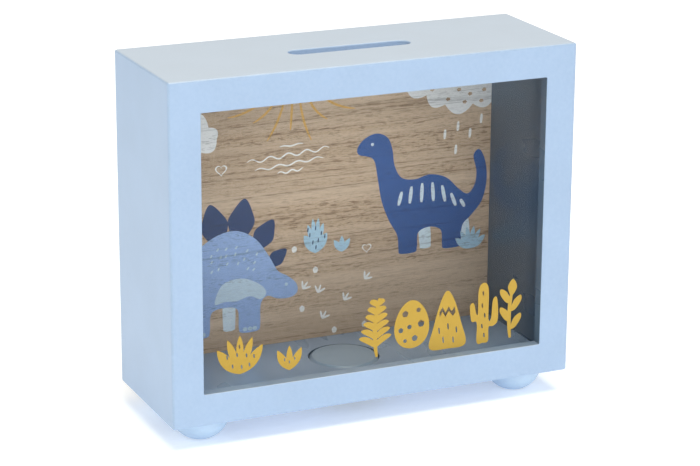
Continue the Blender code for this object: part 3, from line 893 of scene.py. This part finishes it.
def print_sky(inks):
    """A sun on the top edge with long rays, clouds, rain and lines of wind."""
    sun_x, sun_up = -13.0, 132.0
    rays = []
    for degrees, length, bow in ((-62, 38, 3.0), (-44, 30, 2.0), (-24, 34, 1.2), (-4, 27, 0.0),
                                 (15, 34, -1.2), (36, 29, -2.0), (58, 37, -3.0)):
        turn = math.radians(degrees)
        start = (sun_x + 11.0 * math.sin(turn), sun_up - 11.0 * math.cos(turn))
        end = (sun_x + length * math.sin(turn), sun_up - length * math.cos(turn))
        rays.append([stroke(arc_line(start, end, bow), 1.15, tip=0.30)])
    half_sun = [(sun_x + 8.5 * math.cos(math.pi * (1 + step / 24)),
                 sun_up + 8.5 * math.sin(math.pi * (1 + step / 24))) for step in range(25)]
    panel_print("print_sun", [[half_sun]] + rays, 0, inks["sun"])

    lines = [[wave(-20.5, 97.4, 12.0, 0.6, 0.3, 1.5)], [wave(-37.0, 91.6, 42.0, 3.0, 1.0, 4.5)],
             [wave(-33.0, 87.2, 35.0, 3.0, 0.7, 3.6)], [wave(-21.5, 84.6, 13.0, 1.0, 0.6, 2.2)]]
    panel_print("print_wind", lines, 0, inks["white"])

    right = scallops([(91.5, 132.0), (48.0, 132.0), (45.0, 122.0), (56.0, 115.0), (66.0, 109.5),
                      (81.0, 108.5), (93.0, 112.0)], 0.34)
    right = [(min(x, 94.0), min(up, 134.0)) for x, up in right]
    holes = [disc(x, up, 1.15, squash=0.75, wobble=0.12, turn=x)
             for x, up in ((59.0, 117.6), (66.4, 120.6), (73.4, 116.2), (80.8, 119.6),
                           (76.6, 109.8), (87.0, 115.0), (55.0, 122.4), (85.6, 109.6),
                           (67.6, 112.0), (61.4, 123.0), (79.4, 113.6), (70.0, 124.0),
                           (87.6, 121.4))]
    panel_print("print_cloud_right", [[right] + holes], 0, inks["cloud"])
    left = scallops([(-86.0, 105.0), (-72.0, 99.5), (-60.0, 99.0), (-52.0, 104.5), (-56.0, 110.5),
                     (-68.0, 116.0), (-82.0, 113.0)], 0.36)
    panel_print("print_cloud_left", [[left]], 0, inks["cloud"])

    drops = [[dash(x, up, 4.8, 1.45, lean=4.0)] for x, up in
             ((66.2, 94.6), (73.2, 98.0), (79.8, 94.0), (85.8, 100.6), (72.2, 86.4))]
    panel_print("print_rain", drops, 0, inks["white"])


def print_ground(inks):
    """Plants, hearts, pebbles and bird tracks."""
    plants = [[tuft(-2.0, 42.9, 12.2, 17.8, 6, depth=0.70, spread=58.0)],
              [tuft(11.8, 41.9, 8.4, 8.0, 3, spread=38.0)],
              [tuft(81.0, 35.0, 16.4, 11.6, 6, spread=58.0)],
              [tuft(-81.0, 60.0, 11.0, 14.0, 5)]]
    panel_print("print_plants", plants, 3, inks["teal"])
    veins = []
    for x, up in ((-5.0, 52.2), (-2.0, 55.4), (1.0, 52.6), (-3.4, 48.4), (-0.6, 49.2), (-1.8, 45.8),
                  (2.8, 50.8), (-6.0, 55.0), (-81.0, 66.0), (-83.4, 64.4), (-78.6, 64.6)):
        veins.append([dash(x, up, 2.1, 0.6, lean=6.0)])
    panel_print("print_plant_veins", veins, 4, inks["spike"])
    hearts = []
    for x, up, size in ((-50.0, 89.4, 6.4), (25.0, 42.2, 5.4), (-76.0, 84.0, 5.4)):
        hearts.append([heart(x, up, size), heart(x, up, size * 0.78)])
    panel_print("print_hearts", hearts, 0, inks["white"])
    ground = [[disc(x, up, 1.35, squash=1.2, wobble=0.05)] for x, up in
              ((-13.0, 46.0), (-9.0, 15.6), (8.0, 2.6), (24.0, 3.4), (-2.0, 34.4))]
    for x, up, lean in ((-8.6, 25.6, 38.0), (-0.6, 22.6, 20.0), (1.6, 9.2, 30.0),
                        (13.2, 17.0, 34.0), (-84.4, 48.0, 15.0), (-86.4, 74.0, 25.0),
                        (24.0, 26.4, 42.0)):
        ground += [[toe] for toe in track(x, up, 4.2, lean)]
    panel_print("print_tracks", ground, 0, inks["white"])


def pane_print(name, outlines, material):
    print_shape(name, outlines, PANE_FRONT, 0, material)


def seeds(places, length=1.9, width=0.75):
    """Seed-shaped holes at the places."""
    return [dash(x, up, length, width, lean=-6.0) for x, up in places]


def print_pane(ink):
    """Mustard plants, and a row of plain motifs on the right."""
    big = tuft(-65.4, 11.2, 22.4, 18.6, 5, depth=0.56, spread=46.0)
    pane_print("pane_print_big_plant", [[big] + seeds(
        ((-71.6, 20.0), (-66.8, 20.6), (-62.2, 19.8), (-58.6, 19.0), (-69.0, 15.4), (-64.6, 14.6),
         (-60.8, 15.2), (-65.6, 24.4)))], ink)
    small = tuft(-41.2, 9.6, 12.0, 12.0, 3, depth=0.50, spread=30.0)
    pane_print("pane_print_small_plant", [[small] + seeds(
        ((-43.6, 15.0), (-41.2, 13.6), (-38.6, 15.0)), length=1.5, width=0.6)], ink)

    fern = [[stroke(arc_line((2.6, 9.6), (3.8, 38.2), 1.6, steps=16), 2.3, tip=0.45)]]
    for row in range(6):
        up = 14.6 + row * 3.9
        reach = 8.2 - row * 0.85
        for side in (-1, 1):
            stem = (2.9 + 0.2 * row - 1.2, up)
            tip = (stem[0] + side * reach, up + reach * 0.62)
            fern.append([stroke(arc_line(stem, tip, side * 1.1, steps=9), 3.0, tip=0.12)])
    pane_print("pane_print_fern", fern, ink)

    egg = []
    for step in range(44):
        angle = 2 * math.pi * step / 44
        egg.append((20.4 + 8.9 * math.cos(angle) * (1 - 0.16 * math.sin(angle)),
                    23.2 + 11.8 * math.sin(angle)))
    egg_spots = [disc(x, up, radius, wobble=0.06) for x, up, radius in
                 ((17.0, 28.6, 1.5), (23.8, 29.8, 1.1), (25.2, 23.0, 1.6), (19.2, 22.0, 1.1),
                  (14.8, 20.8, 1.2), (22.0, 16.2, 1.4), (17.0, 15.4, 0.9))]
    pane_print("pane_print_egg", [[egg] + egg_spots], ink)

    hill = smooth([(29.6, 9.8), (31.6, 20.0), (35.2, 32.0), (38.6, 37.2), (42.2, 32.6), (46.0, 21.0),
                   (48.4, 9.8), (39.0, 8.6)], steps=6)
    cap = [(34.6, 27.0), (36.2, 29.4), (37.8, 26.6), (39.4, 29.4), (41.0, 26.8), (42.4, 29.0),
           (43.0, 26.2), (41.6, 24.4), (39.4, 27.2), (37.8, 24.4), (36.2, 27.2), (34.8, 24.6)]
    ribs = seeds(((34.6, 18.0), (39.2, 19.6), (43.6, 17.4), (36.8, 13.2), (42.0, 12.6)),
                 length=3.0)
    pane_print("pane_print_hill", [[hill, cap] + ribs], ink)

    cactus = smooth([
        (54.4, 9.4), (54.2, 19.2), (51.4, 20.4), (50.6, 28.0), (52.6, 29.0), (53.8, 24.2),
        (54.8, 24.0), (55.0, 35.4), (57.6, 38.6), (60.2, 35.4), (60.4, 20.6), (61.8, 20.8),
        (62.6, 29.6), (64.8, 30.0), (65.4, 19.6), (63.0, 16.6), (60.6, 16.2), (60.4, 9.4),
        (57.4, 8.8)])
    ticks = seeds(((57.4, 33.4), (57.0, 27.4), (58.4, 22.4), (57.0, 17.2), (58.2, 12.6)), length=2.2)
    pane_print("pane_print_cactus", [[cactus] + ticks], ink)

    sprout = [[stroke(arc_line((72.0, 9.4), (72.6, 33.0), 1.0, steps=12), 2.0, tip=0.6)]]
    for up, side in ((14.0, 1), (18.0, -1), (23.0, 1), (27.0, -1)):
        leaf = [(72.0, up), (72.0 + side * 2.6, up + 0.4), (72.0 + side * 5.6, up + 4.6),
                (72.0 + side * 5.2, up + 7.2), (72.0 + side * 1.8, up + 5.0)]
        sprout.append([smooth(leaf)])
    sprout.append([smooth([(72.4, 30.4), (75.2, 34.4), (73.0, 38.6), (70.4, 34.8)])])
    pane_print("pane_print_sprout", sprout, ink)


def print_picture():
    inks = {name: panel_ink("ink_" + name, colour) for name, colour in INKS.items()}
    print_long_neck(inks)
    print_plated(inks)
    print_sky(inks)
    print_ground(inks)
    print_pane(pane_ink("ink_mustard", MUSTARD))


# ---------------------------------------------------------------- studio

WORLD_COLOUR = (1.0, 0.975, 0.94, 1.0)
WORLD_STRENGTH = 0.55
LIGHT_TARGET = (0.0, 0.0, 0.08)

# Each light's name, place, size, power in watts and colour.
LIGHTS = (
    ("front_softbox", (-0.20, -2.2, 1.25), (1.6, 1.3), 9.5, (0.92, 0.97, 1.0)),
    ("left_softbox", (-1.0, -0.25, 0.75), (0.6, 0.6), 1.65, (1.0, 0.90, 0.60)),
    ("top_softbox", (0.0, -0.55, 2.15), (1.5, 1.1), 38.0, (1.0, 0.92, 0.75)),
    ("low_fill", (1.3, -2.2, 0.22), (1.4, 0.4), 2.0, (0.92, 0.98, 1.0)),
)

CAMERA_PLACE = (-0.45512, -1.01148, 0.42606)
CAMERA_AHEAD = (0.39326, 0.87044, -0.29612)
CAMERA_RIGHT = (0.91203, -0.41009, 0.00578)
CAMERA_LENS = 128.07
SENSOR_WIDTH = 36.0


def make_floor():
    mesh = bpy.data.meshes.new("studio_floor")
    bm = bmesh.new()
    bmesh.ops.create_grid(bm, x_segments=2, y_segments=2, size=8.0)
    bm.to_mesh(mesh)
    bm.free()
    floor = bpy.data.objects.new("studio_floor", mesh)
    bpy.context.scene.collection.objects.link(floor)
    mesh.materials.append(studio_floor("floor_white"))


def area_light(name, place, size, power, colour):
    """A soft rectangular light that looks at the box."""
    light = bpy.data.lights.new(name, 'AREA')
    light.shape = 'RECTANGLE'
    light.size, light.size_y = size
    light.energy = power
    light.color = colour
    obj = bpy.data.objects.new(name, light)
    obj.location = place
    aim = Vector(LIGHT_TARGET) - Vector(place)
    obj.rotation_euler = aim.to_track_quat('-Z', 'Y').to_euler()
    bpy.context.scene.collection.objects.link(obj)


def make_studio():
    world = bpy.data.worlds.new("studio")
    world.use_nodes = True
    background = world.node_tree.nodes["Background"]
    background.inputs["Color"].default_value = WORLD_COLOUR
    background.inputs["Strength"].default_value = WORLD_STRENGTH
    bpy.context.scene.world = world
    for light in LIGHTS:
        area_light(*light)
    bpy.context.scene.view_settings.view_transform = 'Standard'


def make_camera():
    """A long lens, a little above the box and to its left, with the box 1.16 m away."""
    camera = bpy.data.cameras.new("camera")
    camera.lens = CAMERA_LENS
    camera.sensor_width = SENSOR_WIDTH
    camera.clip_start, camera.clip_end = 0.05, 30.0
    obj = bpy.data.objects.new("camera", camera)
    obj.location = CAMERA_PLACE
    ahead = Vector(CAMERA_AHEAD).normalized()
    right = Vector(CAMERA_RIGHT).normalized()
    above = right.cross(ahead).normalized()
    right = ahead.cross(above)
    obj.rotation_mode = 'QUATERNION'
    obj.rotation_quaternion = Matrix((right, above, -ahead)).transposed().to_quaternion()
    bpy.context.scene.collection.objects.link(obj)
    bpy.context.scene.camera = obj


make_camera()
make_studio()
make_floor()
ring_paint = dress_frame()
make_seam_fillers(ring_paint)
print_picture()
